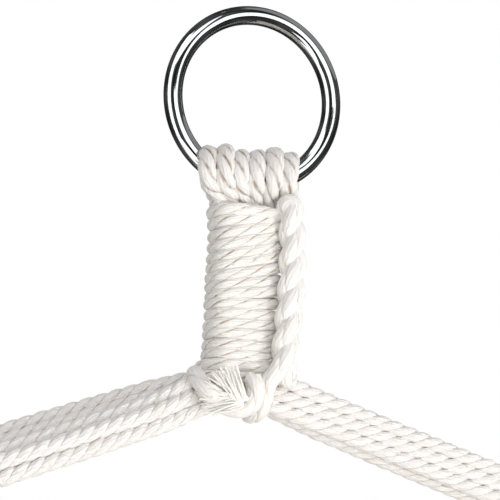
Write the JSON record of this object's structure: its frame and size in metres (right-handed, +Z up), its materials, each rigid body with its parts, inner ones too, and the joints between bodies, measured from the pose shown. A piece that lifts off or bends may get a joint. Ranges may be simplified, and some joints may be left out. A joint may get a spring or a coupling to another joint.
{
  "type": "hammock chair",
  "caption": "Hanging chair: steel ring, whipped cotton cord harness, wooden spreader bar and canvas sling seat on cords.",
  "frame": {"origin": "top of the ring's inside, where a hook carries the chair", "axes": "+Z up, +X to the sitter's left along the spreader bar, the sitter faces -Y"},
  "size_m": [1.01, 0.6251, 1.1248],
  "materials": {
    "ring_steel": "polished",
    "cotton_cord": "natural three-strand twist",
    "bar_wood": "oiled",
    "canvas": "natural plain weave",
    "eyelet_brass": "satin"
  },
  "bodies": {
    "ring": {"hanging_ring": "ring_steel"},
    "harness": {"neck_whipping": "cotton_cord", "locking_cord": "cotton_cord", "spreader_bar": "bar_wood", "suspension_cord_left_1": "cotton_cord", "suspension_cord_left_2": "cotton_cord", "suspension_cord_left_3": "cotton_cord", "suspension_cord_right_1": "cotton_cord", "suspension_cord_right_2": "cotton_cord", "suspension_cord_right_3": "cotton_cord"},
    "seat": {"seat_canvas": "canvas", "seat_cord_left_1": "cotton_cord", "seat_cord_left_2": "cotton_cord", "seat_cord_left_3": "cotton_cord", "seat_cord_right_1": "cotton_cord", "seat_cord_right_2": "cotton_cord", "seat_cord_right_3": "cotton_cord", "eyelet_left_1": "eyelet_brass", "eyelet_left_2": "eyelet_brass", "eyelet_left_3": "eyelet_brass", "eyelet_left_4": "eyelet_brass", "eyelet_left_5": "eyelet_brass", "eyelet_left_6": "eyelet_brass", "eyelet_right_1": "eyelet_brass", "eyelet_right_2": "eyelet_brass", "eyelet_right_3": "eyelet_brass", "eyelet_right_4": "eyelet_brass", "eyelet_right_5": "eyelet_brass", "eyelet_right_6": "eyelet_brass"}
  },
  "joints": [
    {"name": "harness_swing", "type": "hinge", "parent": "ring", "child": "harness", "pos_m": [0, 0, -0.06375], "axis": [1, 0, 0], "range_deg": [-45, 45]},
    {"name": "seat_recline", "type": "hinge", "parent": "harness", "child": "seat", "pos_m": [0, 0, -0.31], "axis": [1, 0, 0], "range_deg": [-30, 30]}
  ]
}
